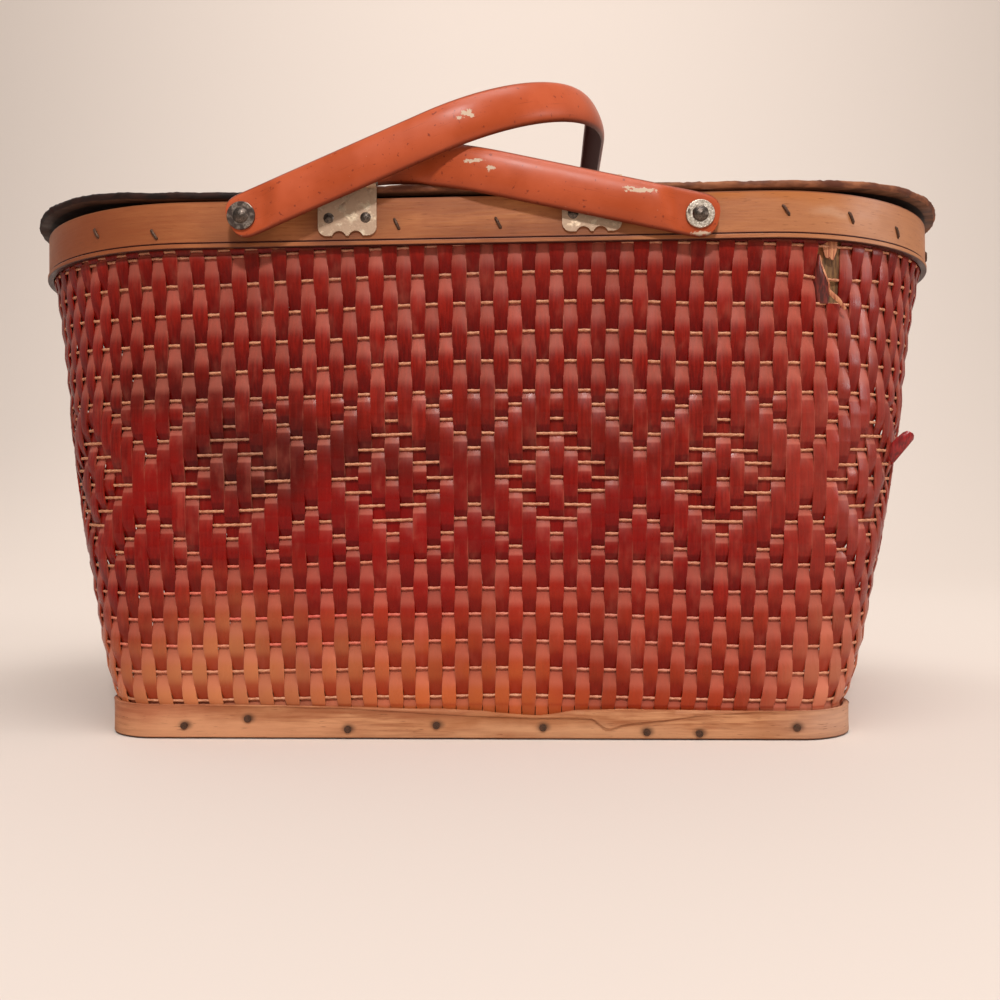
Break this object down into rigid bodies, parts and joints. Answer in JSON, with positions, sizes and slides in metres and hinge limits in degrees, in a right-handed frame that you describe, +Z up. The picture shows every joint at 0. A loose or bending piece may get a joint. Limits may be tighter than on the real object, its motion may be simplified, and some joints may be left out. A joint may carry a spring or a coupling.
{
  "type": "picnic basket",
  "caption": "Woven splint picnic basket with a flared body, bent-wood rim and skirt, a hinged board lid and two swinging steel handles.",
  "frame": {"origin": "centre of the base, on the surface the basket stands on", "axes": "+Z up, -Y towards the hinge side that the picture shows, +X towards its right end"},
  "size_m": [0.51, 0.2878, 0.3356],
  "materials": {
    "dyed_splint": "dyed ash splint, worn and stained",
    "rim_wood": "aged bent wood with old varnish",
    "base_band_wood": "bare bent wood, torn along its top edge",
    "board_wood": "plain sawn board",
    "lid_wood": "dark stained board with a frayed edge",
    "handle_paint": "terracotta enamel on pressed steel, chipped",
    "dark_steel": "browned steel",
    "zinc_plate": "dulled zinc plate",
    "tinned_hinge": "aged tin plate",
    "rusty_iron": "rusted wire and nails"
  },
  "bodies": {
    "basket": {"base_band": "base_band_wood", "base_board": "board_wood", "base_nails": "rusty_iron", "hinge_left_pin": "dark_steel", "hinge_left_rim_leaf": "tinned_hinge", "hinge_left_rim_rivets": "dark_steel", "hinge_right_pin": "dark_steel", "hinge_right_rim_leaf": "tinned_hinge", "hinge_right_rim_rivets": "dark_steel", "pivot_burr_left_back": "dark_steel", "pivot_burr_left_front": "dark_steel", "pivot_burr_right_back": "dark_steel", "pivot_burr_right_front": "dark_steel", "pivot_rivet_left_back": "dark_steel", "pivot_rivet_left_front": "dark_steel", "pivot_rivet_right_back": "dark_steel", "pivot_rivet_right_front": "dark_steel", "pivot_spacer_left_back": "dark_steel", "pivot_spacer_left_front": "dark_steel", "pivot_spacer_right_back": "dark_steel", "pivot_spacer_right_front": "dark_steel", "pivot_washer_left_back": "zinc_plate", "pivot_washer_left_front": "zinc_plate", "pivot_washer_right_back": "zinc_plate", "pivot_washer_right_front": "zinc_plate", "rim_inner_band": "rim_wood", "rim_outer_band": "rim_wood", "rim_staples": "rusty_iron", "woven_body": "dyed_splint"},
    "lid": {"hinge_left_lid_leaf": "tinned_hinge", "hinge_left_lid_rivets": "dark_steel", "hinge_right_lid_leaf": "tinned_hinge", "hinge_right_lid_rivets": "dark_steel", "lid_batten_left": "board_wood", "lid_batten_nails": "rusty_iron", "lid_batten_right": "board_wood", "lid_board": "lid_wood"},
    "left_handle": {"handle_left": "handle_paint"},
    "right_handle": {"handle_right": "handle_paint"}
  },
  "joints": [
    {"name": "left_handle_swing", "type": "hinge", "parent": "basket", "child": "left_handle", "pos_m": [-0.1085, 0, 0.2508], "axis": [0, -1, 0], "range_deg": [0, 178.5]},
    {"name": "right_handle_swing", "type": "hinge", "parent": "basket", "child": "right_handle", "pos_m": [0.1095, 0, 0.2488], "axis": [0, 1, 0], "range_deg": [0, 189.2]},
    {"name": "lid_hinge", "type": "hinge", "parent": "basket", "child": "lid", "pos_m": [0, -0.1316, 0.268], "axis": [1, 0, 0], "range_deg": [0, 51.2]}
  ],
  "couplings": [
    {"joint": "right_handle_swing", "follows": "left_handle_swing", "ratio": 1.0571},
    {"joint": "lid_hinge", "follows": "left_handle_swing", "ratio": 0.2857}
  ]
}
